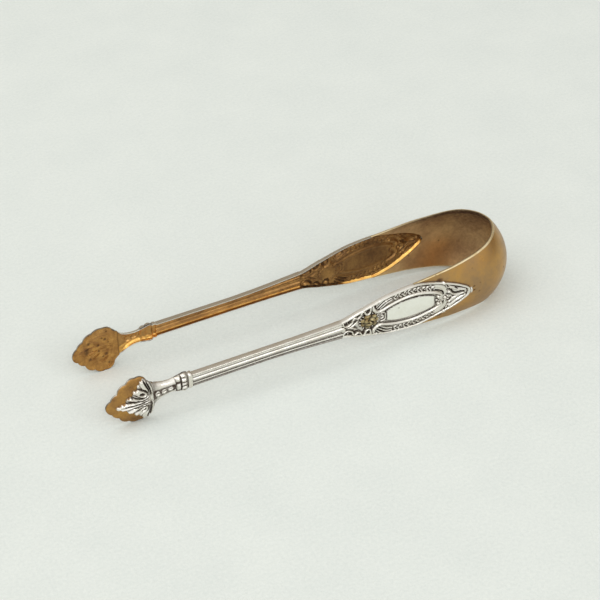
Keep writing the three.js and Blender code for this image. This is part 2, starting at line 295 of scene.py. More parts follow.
class Relief:
    """Heights over the upper half of a symmetrical ornament, on a square raster."""

    STEP = 0.06

    def __init__(self, u_from, u_to, z_to, ground):
        self.us = np.arange(u_from, u_to, self.STEP)
        self.zs = np.arange(0, z_to, self.STEP)
        self.u, self.z = np.meshgrid(self.us, self.zs, indexing="ij")
        self.height = ground(self.u, self.z)

    def near(self, path, reach):
        low = path.min(0) - reach
        high = path.max(0) + reach
        rows = slice(*np.searchsorted(self.us, (low[0], high[0])))
        columns = slice(*np.searchsorted(self.zs, (low[1], high[1])))
        window = (rows, columns)
        return window, *distance_along(self.u[window], self.z[window], path)

    def ridge(self, points, width, crest, foot=GROUND, taper=(1, 1, 1), smooth=True):
        """A rounded bead of half width `width` through points; taper is its share of width along the way."""
        path = smooth_path(points) if smooth else points
        window, away, share = self.near(path, width)
        swell = tapered(share, taper)
        across = unit(away / (width * swell + 1e-6))
        top = foot + (crest - foot) * np.sqrt(1 - across**2) * np.sqrt(swell)
        self.height[window] = np.maximum(self.height[window], np.where(across < 1, top, -1))

    def leaf(self, points, width, crest, foot=GROUND):
        """A leaf through points: pointed at both ends and widest past its middle."""
        self.ridge(points, width, crest, foot, taper=(0.35, 0.8, 1, 0.75, 0.1))

    def carve(self, strokes, depth):
        """Grooves of one depth, each given as its points and half width."""
        for points, width in strokes:
            window, away, _ = self.near(smooth_path(points), width)
            self.height[window] -= depth * unit(1 - (away / width) ** 2)

    def bead(self, centre, radius, crest, foot=GROUND):
        self.ridge(np.array([centre, centre]) + [[-0.01, 0], [0.01, 0]], radius, crest, foot)

    def sample(self, values, u, z):
        """values, an array on this raster, read at any points; it is the same above and below the middle."""
        i = np.clip((u - self.us[0]) / self.STEP, 0, len(self.us) - 1.001)
        j = np.clip(np.abs(z) / self.STEP, 0, len(self.zs) - 1.001)
        i0, j0 = i.astype(int), j.astype(int)
        s, t = i - i0, j - j0
        low = values[i0, j0] * (1 - t) + values[i0, j0 + 1] * t
        high = values[i0 + 1, j0] * (1 - t) + values[i0 + 1, j0 + 1] * t
        return low * (1 - s) + high * s

    def softened(self, reach):
        half = self.height
        whole = np.concatenate([half[:, :0:-1], half], axis=1)
        return blur(whole, reach / self.STEP)[:, half.shape[1] - 1:]

    def recess(self, reach, depth):
        """How far each place lies below its surroundings: 0 on a crest, 1 at `depth` or more below."""
        return unit((self.softened(reach) - self.height) / depth)


# ---------------------------------------------------------------- meshes

SHARP_ANGLE = 40  # edges bent by more degrees than this stay crisp


def add_piece(name, side, points, faces, materials, recess=None):
    """A mesh from near-arm points in millimetres; faces is a list of arrays, one array per material."""
    points = np.asarray(points, float).reshape(-1, 3)
    world = np.column_stack([
        TIP_X + points[:, 0] * MM,
        -side * points[:, 1] * MM,
        MIDDLE_Z + points[:, 2] * MM,
    ])
    loops = [face for group in faces for face in (group if side == NEAR else group[:, ::-1]).tolist()]
    mesh = bpy.data.meshes.new(name)
    mesh.from_pydata(world.tolist(), [], loops)
    for material in materials:
        mesh.materials.append(material)
    index = np.concatenate([np.full(len(group), k, np.int32) for k, group in enumerate(faces)])
    mesh.polygons.foreach_set("material_index", np.minimum(index, len(materials) - 1))
    mesh.polygons.foreach_set("use_smooth", np.ones(len(loops), bool))
    # The recess attribute sets how much the metal darkens: grime on most pieces, and painted shade too on
    # some.
    attribute = mesh.attributes.new("recess", "FLOAT", "POINT")
    values = np.zeros(len(points)) if recess is None else np.asarray(recess, float).ravel()
    attribute.data.foreach_set("value", values.astype(np.float32))
    mesh.update(calc_edges=True)
    mesh.set_sharp_from_angle(angle=math.radians(SHARP_ANGLE))
    piece = bpy.data.objects.new(name, mesh)
    bpy.context.scene.collection.objects.link(piece)
    return piece


def quads(a, b, c, d):
    return np.stack([a.ravel(), b.ravel(), c.ravel(), d.ravel()], axis=1)


def closed_sheet(
    name, side, outer, inner, materials, recess=None, inner_recess=None, rim=0, painted_highlight=None, fades=None
):
    """A closed sheet between two facing grids: rows run along the arm, columns up it.

    The outer face, the lining and the edges have a material each; rim counts the columns either side
    that belong to the edges. Points of the lining in the highlight mask take the fourth material, a brighter
    gilt that paints a highlight, and edges from row number `fades` on take the lining's.
    """
    rows, columns = outer.shape[:2]
    front = np.arange(rows * columns).reshape(rows, columns)
    back = front + rows * columns
    face = quads(front[:-1, :-1], front[1:, :-1], front[1:, 1:], front[:-1, 1:])
    lining = quads(back[:-1, :-1], back[:-1, 1:], back[1:, 1:], back[1:, :-1])
    column = np.tile(np.arange(columns - 1), rows - 1)
    middle = (column >= rim) & (column < columns - 1 - rim)

    def edge(a, b):
        return quads(a[:-1], b[:-1], b[1:], a[1:])

    fades = rows - 1 if fades is None else fades
    low_edge = edge(front[:, 0], back[:, 0])
    high_edge = edge(back[:, -1], front[:, -1])
    edges = np.concatenate([
        low_edge[:fades], high_edge[:fades], edge(back[0], front[0]), edge(front[-1], back[-1]),
        face[~middle], lining[~middle],
    ])
    # Lining faces in the highlight mask take the brighter gilt, a painted highlight.
    bright = np.zeros(len(lining), bool) if painted_highlight is None else (painted_highlight[:-1, :-1] & painted_highlight[1:, 1:]).ravel()
    inside_faces = np.concatenate([lining[middle & ~bright], low_edge[fades:], high_edge[fades:]])
    points = np.concatenate([outer.reshape(-1, 3), inner.reshape(-1, 3)])
    blank = np.zeros((rows, columns))
    grime = np.concatenate([
        (blank if recess is None else recess).ravel(),
        (blank if inner_recess is None else inner_recess).ravel(),
    ])
    groups = [face[middle], inside_faces, edges, lining[middle & bright]]
    return add_piece(name, side, points, groups, materials, recess=grime)


def capped_loft(rings, recess=None):
    """Points, faces and grime of a solid through closed rings of points, with a cap at either end."""
    count, around = rings.shape[:2]
    ids = np.arange(count * around).reshape(count, around)
    following = np.roll(ids, -1, axis=1)
    wall = quads(ids[:-1], following[:-1], following[1:], ids[1:])
    caps = [ids[0][::-1], ids[-1]]
    middle = len(ids.ravel()) + np.arange(2)
    fans = []
    for centre, cap in zip(middle, caps):
        fans.append(np.column_stack([np.full(around, centre), cap, np.roll(cap, -1)]))
    points = np.concatenate([rings.reshape(-1, 3), rings[0].mean(0)[None], rings[-1].mean(0)[None]])
    grime = None if recess is None else np.concatenate([recess.ravel(), [0, 0]])
    return points, [wall] + fans, grime


def inside(u, z, outline):
    """Whether each point is inside a closed outline."""
    hit = np.zeros(u.shape, bool)
    for (ua, za), (ub, zb) in zip(outline, np.roll(outline, -1, axis=0)):
        crosses = (za > z) != (zb > z)
        run = np.where(crosses, (ub - ua) * (z - za) / (zb - za if zb != za else 1) + ua, -np.inf)
        hit ^= crosses & (u < run)
    return hit


def struck_plate(name, side, outline, spacing, top, bottom, materials, grime=None, under_grime=None):
    """A solid with a given outline; top and bottom give heights from u, z and the distance to the edge."""
    low, high = outline.min(0), outline.max(0)
    us, zs = np.meshgrid(
        np.arange(low[0], high[0], spacing), np.arange(low[1], high[1], spacing), indexing="ij"
    )
    us, zs = us.ravel(), zs.ravel()
    edge = np.concatenate([outline, outline[:1]])
    away, _ = distance_along(us, zs, edge)
    kept = inside(us, zs, outline) & (away > 0.45 * spacing)
    flat = np.concatenate([outline, np.column_stack([us[kept], zs[kept]])])
    count = len(outline)
    result = delaunay_2d_cdt([Vector(p) for p in flat], [], [list(range(count))], 1, 1e-6)
    flat = np.array([tuple(p) for p in result[0]])
    triangles = np.array(result[2])
    away, _ = distance_along(flat[:, 0], flat[:, 1], edge)
    upper = place(flat[:, 0], flat[:, 1], top(flat[:, 0], flat[:, 1], away))
    lower = place(flat[:, 0], flat[:, 1], bottom(flat[:, 0], flat[:, 1], away))
    directed = {(a, b) for t in triangles.tolist() for a, b in zip(t, t[1:] + t[:1])}
    rim = np.array([(a, b) for a, b in directed if (b, a) not in directed])
    rim = rim[np.lexsort((rim[:, 1], rim[:, 0]))]
    shift = len(flat)
    wall = np.column_stack([rim[:, 0], rim[:, 0] + shift, rim[:, 1] + shift, rim[:, 1]])
    dirt_and_shade = np.zeros(2 * shift)
    if grime is not None:
        dirt_and_shade[:shift] = grime(flat[:, 0], flat[:, 1], away)
    if under_grime is not None:
        dirt_and_shade[shift:] = under_grime(flat[:, 0], flat[:, 1], away)
    faces = [triangles, triangles[:, ::-1] + shift, wall]
    return add_piece(name, side, np.concatenate([upper, lower]), faces, materials, recess=dirt_and_shade)


# ---------------------------------------------------------------- materials

CORNER_REACH = 0.0009  # in metres, how far from a corner the painted shade reaches
GRAIN_HEIGHT = 0.0002
SCRATCH_SCALE = (300, 1500, 4200)


def node(tree, kind, inputs=(), **settings):
    """A shader node; an input given as a socket is linked, and any other value is set."""
    made = tree.nodes.new("ShaderNode" + kind)
    for name, value in settings.items():
        setattr(made, name, value)
    for name, value in dict(inputs).items():
        if isinstance(value, bpy.types.NodeSocket):
            tree.links.new(value, made.inputs[name])
        else:
            made.inputs[name].default_value = value
    return made


def new_tree(name):
    material = bpy.data.materials.new(name)
    material.use_nodes = True
    material.node_tree.nodes.clear()
    return material, material.node_tree


def rgb(red, green, blue):
    """A colour given as 0-255 display values."""
    def linear(c):
        c /= 255
        return c / 12.92 if c <= 0.04045 else ((c + 0.055) / 1.055) ** 2.4
    return (linear(red), linear(green), linear(blue), 1)


def maths(tree, operation, a, b=0.0, clamp=False):
    return node(tree, "Math", {0: a, 1: b}, operation=operation, use_clamp=clamp).outputs[0]


def times(tree, a, b):
    return maths(tree, "MULTIPLY", a, b)


def plus(tree, a, b, clamp=False):
    return maths(tree, "ADD", a, b, clamp)


def mixed(tree, share, a, b):
    return node(tree, "Mix", {0: share, 6: a, 7: b}, data_type="RGBA").outputs[2]


def noise(tree, place_socket, scale, detail=3.0, roughness=0.55):
    inputs = {"Vector": place_socket, "Scale": scale, "Detail": detail, "Roughness": roughness}
    return node(tree, "TexNoise", inputs).outputs["Fac"]


def ramp(tree, value, low, high, to_low=0.0, to_high=1.0):
    inputs = {"Value": value, "From Min": low, "From Max": high, "To Min": to_low, "To Max": to_high}
    return node(tree, "MapRange", inputs, clamp=True).outputs["Result"]


def specks(tree, place_socket, scale, size):
    """Sparse round spots: 1 inside a spot."""
    cells = node(tree, "TexVoronoi", {"Vector": place_socket, "Scale": scale})
    near_centre = ramp(tree, cells.outputs["Distance"], size, size * 0.5)
    chosen = node(tree, "SeparateColor", {0: cells.outputs["Color"]})
    return times(tree, near_centre, maths(tree, "GREATER_THAN", chosen.outputs[0], 0.8))


def metal(name, bright, worn, grime, shine, wear_scale, worn_share, bump=0.12, speck=0.5):
    """Aged metal: a bright colour clouded with a worn one, grime in recesses and pits, and painted shade in
    corners, between pieces and wherever a piece's recess attribute holds it.
    """
    bright, worn, grime = rgb(*bright), rgb(*worn), rgb(*grime)
    material, tree = new_tree(name)
    spot = node(tree, "TexCoord").outputs["Object"]
    recess = node(tree, "Attribute", attribute_name="recess").outputs["Fac"]
    # Ambient occlusion paints shade, in the grime colour, into corners and the gaps between pieces.
    corner = node(tree, "AmbientOcclusion", {"Distance": CORNER_REACH}, samples=6).outputs["AO"]
    cloud = noise(tree, spot, wear_scale, 4.0)
    fine = noise(tree, spot, wear_scale * 7, 3.0, 0.6)
    stretched = node(tree, "Mapping", {"Vector": spot, "Scale": SCRATCH_SCALE}).outputs[0]
    scratches = noise(tree, stretched, 1.0)
    clouded = plus(tree, times(tree, cloud, 0.75), times(tree, fine, 0.25))
    worn_mix = times(tree, ramp(tree, clouded, 0.36, 0.66), worn_share)
    colour = mixed(tree, worn_mix, bright, worn)
    shade = ramp(tree, corner, 0.35, 0.85, 0.75, 0.0)
    pits = times(tree, specks(tree, spot, 420, 0.22), speck)
    edge_noise = ramp(tree, fine, 0.3, 0.7, 0.75, 1.2)
    # Grime from the recess attribute, which on some pieces also holds painted shade, adds to the painted
    # corner shade.
    dirt_and_shade = times(tree, plus(tree, recess, shade), edge_noise)
    dirt_and_shade = maths(tree, "MAXIMUM", dirt_and_shade, pits, clamp=True)
    colour = mixed(tree, dirt_and_shade, colour, grime)
    polish = ramp(tree, clouded, 0.3, 0.7, shine * 0.75, shine * 1.3)
    rough = plus(tree, polish, times(tree, dirt_and_shade, 0.35), clamp=True)
    height = plus(tree, times(tree, fine, 0.6), times(tree, scratches, 0.5))
    surface = node(tree, "Bump", {"Strength": bump, "Distance": GRAIN_HEIGHT, "Height": height})
    shader = node(tree, "BsdfPrincipled", {
        "Base Color": colour,
        "Metallic": ramp(tree, dirt_and_shade, 0.2, 1.0, 1.0, 0.55),
        "Roughness": rough,
        "Normal": surface.outputs[0],
    })
    node(tree, "OutputMaterial", {"Surface": shader.outputs[0]})
    return material


def floor_material():
    """Pale painted plaster with a faint grain."""
    material, tree = new_tree("pale_floor")
    spot = node(tree, "TexCoord").outputs["Object"]
    broad = noise(tree, spot, 40, 4.0)
    grain = noise(tree, spot, 900, 4.0, 0.7)
    tone = plus(tree, times(tree, grain, 0.7), times(tree, broad, 0.3))
    colour = mixed(tree, ramp(tree, tone, 0.35, 0.65), rgb(220, 226, 222), rgb(231, 236, 231))
    surface = node(tree, "Bump", {"Strength": 0.3, "Distance": 0.0005, "Height": grain})
    inputs = {"Base Color": colour, "Roughness": 0.85, "Normal": surface.outputs[0]}
    shader = node(tree, "BsdfPrincipled", inputs)
    node(tree, "OutputMaterial", {"Surface": shader.outputs[0]})
    return material


OXIDE = (70, 55, 45)
SILVER = metal("silver", (240, 237, 229), (222, 215, 202), OXIDE, 0.2, 260, 0.8, speck=0.0)
SATIN_SILVER = metal("satin_silver", (249, 248, 240), (241, 239, 228), OXIDE, 0.38, 300, 0.7, speck=0.25)
GILT = metal("gilt", (192, 149, 88), (162, 132, 96), (96, 66, 38), 0.34, 110, 1.0)
GILT_BOW = metal("gilt_bow", (226, 188, 136), (180, 144, 106), (80, 54, 34), 0.34, 120, 1.0)
GILT_INSIDE = metal("gilt_inside", (196, 150, 90), (140, 104, 66), (70, 46, 26), 0.36, 160, 1.0)
# A brighter copy of the inside gilt that paints a highlight on lining walls facing the light.
GILT_PAINTED_HIGHLIGHT = metal("gilt_painted_highlight", (250, 204, 116), (214, 152, 78), (120, 80, 40), 0.3, 420, 1.0, speck=0.0)
GILT_CLAW = metal("gilt_claw", (188, 142, 78), (140, 104, 68), (80, 58, 38), 0.36, 260, 0.9)
GILT_EDGE = metal("gilt_edge", (244, 230, 192), (216, 190, 140), (90, 70, 46), 0.3, 300, 1.0)
GILT_PRINT = metal("gilt_print", (206, 156, 88), (150, 106, 64), (70, 46, 26), 0.3, 420, 1.0, bump=0.3)
CLAW_EDGE = metal("claw_edge", (236, 230, 214), (104, 92, 70), (48, 42, 34), 0.4, 300, 1.0)
AGED_GILT = metal("aged_gilt", (206, 194, 152), (146, 112, 62), (50, 40, 30), 0.4, 900, 1.0, bump=0.4)
ARM_METALS = [SILVER, GILT_INSIDE, SILVER, GILT_PAINTED_HIGHLIGHT]


# ---------------------------------------------------------------- channels

def round_section(power, count=72):
    """Shares of half width and of depth across a rounded channel, from its lower edge to its upper."""
    angle = np.linspace(0, math.pi, count)
    along = -np.sign(np.cos(angle)) * np.abs(np.cos(angle)) ** (2 / power)
    return along, np.abs(np.sin(angle)) ** (2 / power)


def channel(
    name, side, stations, section, width, depth, relief=None, soft=2.0, grime=None, lining=None
):
    """A drawn channel, open towards the other arm, with its gilt lining."""
    across, climb = section
    u, v = np.meshgrid(stations, across, indexing="ij")
    z = v * width(u)
    h = climb * depth(u)
    if relief is not None:
        h = h + relief(u, z, climb + 0 * u)
    outer = place(u, z, h)
    shrink = 1 - CHANNEL_FLANK / width(u)
    h_in = np.maximum(0, blur(h, soft) - CHANNEL_SHEET)
    if lining is not None:
        h_in = np.minimum(lining(u, z * shrink, h_in), h - 0.15 * climb)
    inner = place(u, z * shrink, h_in)
    dirt_and_shade = None if grime is None else grime(u, z, h)
    # The lining of the lower flank gets the brighter gilt, a painted highlight.
    painted_highlight = (v < 0) & (climb < 0.93)
    return closed_sheet(name, side, outer, inner, ARM_METALS, recess=dirt_and_shade, painted_highlight=painted_highlight)


def neck(name, side):
    """Waisted neck, dark around the husks that hang down its front."""
    stations = np.linspace(CLAW_END - 1.0, NECK_END + 0.15, 90)

    def grime(u, z, h):
        husk = 1.2 - 0.07 * (u - CLAW_END)
        outline = smoothstep(np.abs(z), husk + 0.75, husk + 0.25)
        root = 1 - smoothstep(u, CLAW_END, CLAW_END + 2.2)
        spot = hump(u - 23.3, 0.45) * hump(z, 0.8)
        return unit(0.85 * outline * (h > 1.2) + 0.55 * root + spot)

    def root(u, z, climb):
        hidden = 1 - smoothstep(u, CLAW_END, CLAW_END + 1.5)
        return np.maximum(claw_cup(u, z) + 0.3 - NECK_DEPTH * climb, 0) * hidden

    def lining(u, z, h):
        into = smoothstep(u, CLAW_END, CLAW_END + 3.2)
        return (claw_cup(u, z) + 0.25) * (1 - into) + (h + husk_prints(u, z)) * into

    return channel(
        name, side, stations, round_section(2.3, 110), neck_half_width, lambda u: NECK_DEPTH + 0 * u,
        root, grime=grime, lining=lining,
    )


def husk_prints(u, z):
    """The husks show from inside as hollows with a ring around each."""
    prints = 0 * u
    for start, length, radius in HUSKS:
        away = np.hypot((u - start + length / 2) / (0.5 * length), z / radius)
        prints = prints + 0.25 * hump(away, 1, 4) - 0.12 * hump(away - 1.25, 0.2)
    return prints


def knop(name, side):
    """A swelling carved with a ring of beads and a ring of upright leaves, which it widens towards."""
    stations = np.linspace(NECK_END + 0.1, KNOP_END + 0.25, 64)

    def carving(u, z, climb):
        along = u - NECK_END
        turn = np.arctan2(z, 2.2 * climb)
        bead = hump(along - 1.15, 0.7, 4) * (0.5 + 0.5 * np.cos(turn * 4.6 + 0.6)) ** 0.8
        leaves = hump(along - 3.1, 0.8, 4) * np.abs(np.cos(turn * 5.2)) ** 1.5
        waist = hump(along - 2.05, 0.2)
        return climb * (0.6 * bead + 0.5 * leaves - 0.3 * waist - 0.4)

    def grime(u, z, h):
        soft = blur(h, 7.0)
        leaves = 0.45 * smoothstep(u, NECK_END + 1.9, NECK_END + 2.3)
        gaps = (0.5 - 0.5 * np.cos(np.arctan2(z, h) * 4.6 + 0.6)) ** 2 * (u < NECK_END + 2)
        return unit((soft - h) / 0.14 + 0.1 + leaves + gaps)

    width = curve_through([(NECK_END, 2.75), (25.2, 3.0), (26.6, 3.3), (27.5, 3.5), (KNOP_END + 0.3, 3.2)])
    depth = curve_through([(NECK_END, 2.0), (25.2, 2.35), (27.5, 2.45), (KNOP_END + 0.3, 2.2)])
    section = round_section(3.2, 120)
    return channel(name, side, stations, section, width, depth, carving, soft=6.0, grime=grime)


def collar(name, side):
    """A flat ring with a raised fillet either side."""
    stations = np.linspace(KNOP_END + 0.2, COLLAR_END + 0.1, 30)

    def swell(u):
        t = (u - stations[0]) / (stations[-1] - stations[0])
        return np.sin(math.pi * unit(t)) ** 0.35

    def width(u):
        return 2.6 + 0.45 * swell(u)

    def depth(u):
        return 1.7 + 0.5 * swell(u)

    return channel(name, side, stations, round_section(4.5), width, depth)


def reeded_height(share):
    """Height across the front of the stem, from shares of its half width."""
    share = np.abs(share)

    def bead(centre, width, crest, foot):
        return foot + (crest - foot) * np.sqrt(np.clip(1 - ((share - centre) / width) ** 2, 0, None))

    def groove(centre, width, depth):
        return depth * unit(1 - ((share - centre) / width) ** 2)

    base = 1.62 - groove(0.69, 0.05, 0.16) - groove(0.38, 0.075, 0.3)
    rim = np.where(np.abs(share - 0.86) < 0.13, bead(0.86, 0.13, 1.86, 1.6), 0)
    thread = np.where(np.abs(share - 0.55) < 0.1, bead(0.55, 0.1, 1.7, 1.6), 0)
    reed = np.where(share < 0.31, bead(0, 0.31, STEM_DEPTH, 1.45), 0)
    return np.maximum.reduce([base, rim, thread, reed])


def face_section(count, flank=6):
    """Shares of half width, and how far up the flank: the flank at either edge, then the face."""
    climb = np.linspace(0, 1, flank, endpoint=False)
    lean = 1 - 0.03 * climb**2
    face = np.linspace(-0.962, 0.962, count)
    across = np.concatenate([-lean, face, lean[::-1]])
    return across, np.concatenate([climb, np.ones(count), climb[::-1]])


STEM_PAINTED_SHADE = ((-0.11, 0.16, 0.75), (-0.8, 0.2, 0.7))  # painted shade bands: share of the half width, spread, darkness
LINING_BEND = 0.72  # from this share of the half width outwards the lining curves up to the edge


def stem(name, side):
    """A reeded front with narrow flanks, darkened with painted shade below the middle reed and along its
    lower edge.
    """
    across, climb = face_section(110)
    stations = np.linspace(COLLAR_END + 0.1, STEM_END + 0.02, 120)
    u, v = np.meshgrid(stations, across, indexing="ij")
    h = climb * reeded_height(v)
    width = half_width(u)
    soft = blur(h, 2.2)
    outer = place(u, v * width, h)
    past_bend = np.clip(np.abs(v) - LINING_BEND, 0, None) / (1 - LINING_BEND)
    hollow = np.sqrt(unit(1 - past_bend**2))
    inner = place(u, v * (width - ARM_FLANK), hollow * np.maximum(0, soft - STEM_SHEET))
    face = climb == 1
    # Grooves darken with tarnish, cut by 70% on the upper half to paint light falling from above; the listed
    # bands add painted shade below the middle reed and along the lower edge.
    tarnish_and_shade = unit((blur(h, 3.5) - h) / 0.16) * face * (1 - 0.7 * (v > 0))
    for centre, spread, darkness in STEM_PAINTED_SHADE:
        tarnish_and_shade = np.maximum(tarnish_and_shade, darkness * hump(v - centre, spread))
    # The lining's lower wall gets the brighter gilt, a painted highlight.
    painted_highlight = (v < -LINING_BEND) & (v > -0.93) & face
    return closed_sheet(name, side, outer, inner, ARM_METALS, recess=tarnish_and_shade, painted_highlight=painted_highlight)


# ---------------------------------------------------------------- cartouche

def border_path(u_from, u_to, inset):
    u = np.linspace(u_from, u_to, 160)
    edge = np.column_stack([u, cartouche_half_width(u)])
    run = directions(edge)
    return edge + inset * np.column_stack([run[:, 1], -run[:, 0]])


def shell_frame(relief):
    """A wavy band around the flower, with dark hollows between its scallops and the rim."""
    wave = [
        (84.9, 2.7), (85.1, 1.7), (86, 1), (87.2, 1.2), (88.2, 1.9), (88.6, 3),
        (89.3, 3.5), (90.4, 3), (91.3, 3.6), (91.9, 4.7), (92.5, 5.1), (93.1, 4.5),
        (93.5, 3.6), (94.3, 3.2), (95, 3.6), (95.3, 4.6), (95.4, 5.8),
    ]
    relief.ridge(wave, 0.42, 2.0)
    relief.ridge([(86.9, 1.7), (86.8, 2.3), (86.5, 3)], 0.2, 1.7)
    hollows = [
        ([(86.2, 2.5), (87, 2.2), (87.9, 2.6)], 0.5),
        ([(89.3, 4.5), (90.9, 4.2)], 0.55),
        ([(93.9, 5.2), (94.6, 4.5)], 0.5),
        ([(96, 6), (95.7, 6.3)], 0.35),
    ]
    relief.carve(hollows, 0.75)


def frond_fan(relief):
    """Slanting ribs with dark gaps, between the scroll's hook and the rim."""
    ribs = [
        [(97.5, 5.8), (98.3, 6.6), (99.4, 7.3)],
        [(97.6, 4.9), (98.5, 5.9), (99.8, 6.8), (101.4, 7.4)],
        [(98, 4.1), (99, 4.9), (100.2, 5.8), (101.8, 6.5), (103.2, 6.7)],
        [(99, 3.8), (100.2, 4.6), (101.6, 5.4), (103.4, 5.9)],
    ]
    for rib in ribs:
        relief.ridge(rib, 0.36, 1.75, taper=(0.7, 1, 1, 0.8))
    gaps = [
        [(97.6, 5.4), (98.4, 6.3), (99.6, 7.1)],
        [(97.9, 4.5), (98.8, 5.4), (99.9, 6.3), (101.2, 6.9)],
        [(98.6, 4), (99.7, 4.75), (100.9, 5.6), (102.2, 6.1)],
    ]
    relief.carve([(gap, 0.2) for gap in gaps], 0.6)


def garland(relief):
    """A chain of leaves in pairs, with berries between them, along the border."""
    line = smooth_path([(104, 6.6), (108, 6.85), (112, 6.6), (116, 5.85), (118.9, 5)], 30)
    pitch = 1.75
    lengths = np.concatenate([[0], np.cumsum(np.hypot(*np.diff(line, axis=0).T))])
    for count, at in enumerate(np.arange(0.2, lengths[-1], pitch)):
        spot = np.array([np.interp(at, lengths, line[:, k]) for k in (0, 1)])
        ahead = np.array([np.interp(at + 0.2, lengths, line[:, k]) for k in (0, 1)])
        run = (ahead - spot) / max(np.hypot(*(ahead - spot)), 1e-9)
        aside = np.array([-run[1], run[0]])
        for lean in (1, -1):
            lag = 0.35 if (count % 2 == 0) == (lean > 0) else 0.0
            base = spot + run * lag
            tip = base + run * 1.25 + lean * aside * 1.05
            bow = base + run * 0.35 + lean * aside * 0.72
            relief.leaf([base, bow, tip], 0.44, 1.7)
        relief.bead(spot + run * 1.3, 0.3, 1.65)


def vee_leaves(relief):
    """The stem's middle reed ends between two pointed leaves, and a small leaf curls up to the medallion."""
    relief.leaf([(90.4, 1.7), (88.6, 0.6), (87.2, 0.1), (85.6, 0)], 0.5, 1.9)
    for turn in range(9):
        angle = math.radians(8 + turn * 20)
        ray = np.array([math.cos(angle) * FLOWER_STRETCH, math.sin(angle)])
        root = np.array([FLOWER_CENTRE, 0]) + 2.5 * ray
        relief.leaf([root, root + 0.75 * ray], 0.34, 1.35, foot=0.6)
    relief.ridge([(99.3, 1.7), (100.4, 1.6), (101, 1), (101, 0.2)], 0.28, 1.5)
    relief.leaf([(99.2, 0.9), (99.9, 0.5), (100.6, 0)], 0.4, 1.45)


def tongue_ribbon(relief):
    """A plain band behind the frame's volutes, small berries, and a leaf with a dark outline at the tip."""
    relief.ridge([(119.8, 5.9), (122, 5), (123.2, 3.6), (123.6, 2)], 0.75, 1.12)
    berries = (((120.2, 0), 0.5), ((120.9, 0.55), 0.34), ((123.4, 0), 0.62), ((124.3, 0.55), 0.4))
    for centre, size in berries:
        relief.bead(centre, size, 1.75)
    relief.ridge([(124.3, 4.6), (125.8, 3.6), (127.4, 2.6), (129.2, 1.75), (130.4, 1.2)], 0.62, 1.6)
    stalk = [(124.6, 1.9), (125.3, 1.6), (126, 0.9), (127, 0.35), (128.6, 0), (129.8, 0)]
    relief.ridge(stalk, 0.4, 1.75)
    relief.bead((124.9, 2.1), 0.5, 1.8)
    vein = [(124.2, 3.1), (125.6, 2.7), (126.1, 1.7), (127, 1), (128.5, 0.75), (129.9, 0.75), (130.4, 0.2)]
    darks = [
        (vein, 0.26),
        ([(123.9, 1.6), (124.8, 1.2), (125.4, 0.6)], 0.22),
        ([(118.4, 4.5), (120.6, 3.9), (122.5, 2.8), (122.9, 1.4)], 0.26),
        ([(124.2, 5), (124.6, 4.1)], 0.3),
        ([(126.9, 3.3), (127.8, 2.5)], 0.2),
    ]
    relief.carve(darks, 0.75)


def frame_half():
    """Centre line of the upper moulding around the medallion: a scroll at the flower, a volute at the end."""
    return smooth_path([
        (96.4, 5.9), (96.3, 4.9), (96.8, 3.8), (97.9, 3), (99.5, 2.95), (102, 3.75), (105.6, 4.65),
        (109.8, 5.1), (113.6, 4.95), (117.2, 4.15), (119.8, 3.3), (121.4, 2.4), (121.8, 1.6), (121.2, 1.15),
    ], 8)


def cartouche_ground(u, z):
    """The stem's reeds run in at the start, and the ground is level beyond them."""
    share = z / half_width(u)
    reach = 86.0 - 0.5 * z
    into = smoothstep(u, reach - 0.5, reach + 0.5)
    flat = GROUND - 0.4 * hump(np.hypot((u - FLOWER_CENTRE) / FLOWER_STRETCH, z), 3.4, 4)
    return reeded_height(share) * (1 - into) + flat * into


def medallion_oval(u, z, half_height=MEDALLION_HALF_HEIGHT):
    """Less than 1 within the oval that the medallion is cut from, short of its squared-off ends."""
    return ((u - MEDALLION_CENTRE) / MEDALLION_OVAL) ** 2 + (z / half_height) ** 2


def ornament():
    """The relief of the cartouche's upper half; its sizes shrink a little towards the medallion."""
    relief = Relief(STEM_END - 0.5, TONGUE_END + 0.6, 10.6, cartouche_ground)
    shell_frame(relief)
    frond_fan(relief)
    garland(relief)
    vee_leaves(relief)
    tongue_ribbon(relief)
    relief.ridge(frame_half(), 0.6, 1.35, smooth=False)
    seat = medallion_oval(relief.u, relief.z, MEDALLION_HALF_HEIGHT - 0.4) < 1
    seat &= np.abs(relief.u - MEDALLION_CENTRE) < MEDALLION_HALF_LENGTH - 0.5
    relief.height = np.where(seat, 1.15, relief.height)
    rim = border_path(STEM_END - 1, TONGUE_END - 0.15, 0.46)
    rim = rim[rim[:, 1] > 0.35]
    tip = np.array([[rim[-1, 0] + 0.25, 0]])
    relief.ridge(np.concatenate([rim, tip]), 0.5, RIM_CREST, smooth=False)
    relief.bead((123.2, 6.0), 0.8, 2.0)
    relief.height -= THINNING * (relief.height - 0.2) * smoothstep(relief.u, 88, 99)
    return relief


ORNAMENT = ornament()
ORNAMENT_RECESS = ORNAMENT.recess(0.42, 0.26)
REVERSE = ORNAMENT.softened(0.26)


